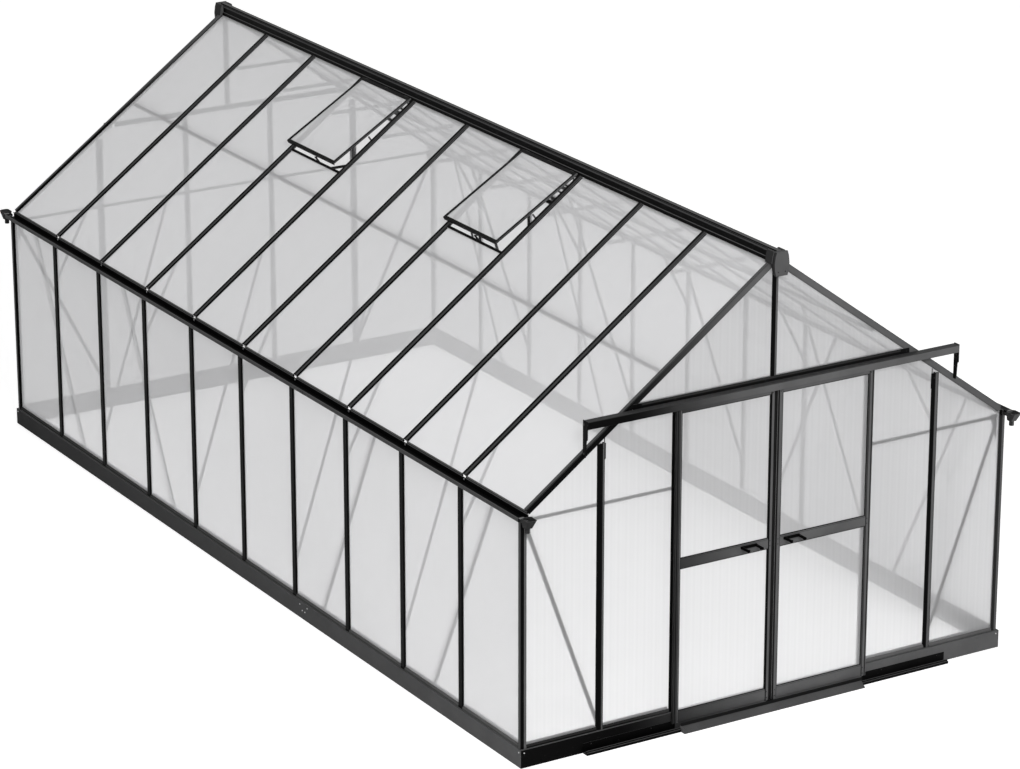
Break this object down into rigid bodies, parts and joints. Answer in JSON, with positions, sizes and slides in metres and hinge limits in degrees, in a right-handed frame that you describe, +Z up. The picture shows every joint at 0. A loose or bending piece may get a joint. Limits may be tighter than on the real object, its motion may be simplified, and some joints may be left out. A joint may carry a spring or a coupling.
{
  "type": "polycarbonate greenhouse",
  "caption": "Walk-in greenhouse with a black aluminium frame, twin-wall sheets, a gabled roof with open vents and double sliding doors.",
  "frame": {"origin": "middle of the bounding box at floor level", "axes": "+X across the house, +Y along it towards the rear gable (the doors face -Y), +Z up"},
  "size_m": [3.136, 6.347, 2.551],
  "materials": {
    "frame_aluminium": "satin black powder coat on aluminium",
    "base_steel": "satin black powder coat on steel sheet",
    "brace_bars": "satin black powder coat on flat bar",
    "black_plastic": "fine-grained moulded plastic",
    "twin_wall_sheet": "frosted twin-wall polycarbonate with fine flutes"
  },
  "bodies": {
    "house": {"base_left": "base_steel", "base_right": "base_steel", "base_front": "base_steel", "base_rear": "base_steel", "wall_sills": "frame_aluminium", "corner_posts": "frame_aluminium", "left_wall_posts": "frame_aluminium", "right_wall_posts": "frame_aluminium", "gutters": "frame_aluminium", "gutter_outlets": "black_plastic", "ridge_beam": "frame_aluminium", "ridge_caps": "black_plastic", "left_roof_bars": "frame_aluminium", "right_roof_bars": "frame_aluminium", "gable_rafters": "frame_aluminium", "left_wall_panels": "twin_wall_sheet", "right_wall_panels": "twin_wall_sheet", "left_roof_panels": "twin_wall_sheet", "right_roof_panels": "twin_wall_sheet", "front_wall_panels": "twin_wall_sheet", "rear_wall_panels": "twin_wall_sheet", "front_gable_posts": "frame_aluminium", "rear_gable_posts": "frame_aluminium", "gable_headers": "frame_aluminium", "gable_braces": "brace_bars", "wall_braces": "brace_bars", "roof_struts": "brace_bars", "collar_ties": "brace_bars", "roof_purlins": "brace_bars", "vent_frames": "frame_aluminium", "vent_panels": "twin_wall_sheet", "vent_sills": "frame_aluminium", "vent_stays": "brace_bars", "door_rail": "frame_aluminium", "rail_drops": "frame_aluminium", "door_track": "frame_aluminium", "threshold_ramp": "base_steel"},
    "door_left": {"left_leaf_frame": "frame_aluminium", "left_leaf_panels": "twin_wall_sheet", "left_leaf_handle": "black_plastic", "left_leaf_rollers": "black_plastic"},
    "door_right": {"right_leaf_frame": "frame_aluminium", "right_leaf_panels": "twin_wall_sheet", "right_leaf_handle": "black_plastic", "right_leaf_rollers": "black_plastic"}
  },
  "joints": [
    {"name": "door_left_slide", "type": "slide", "parent": "house", "child": "door_left", "axis": [-1, 0, 0], "range_m": [0, 0.52]},
    {"name": "door_right_slide", "type": "slide", "parent": "house", "child": "door_right", "axis": [1, 0, 0], "range_m": [0, 0.52]}
  ]
}
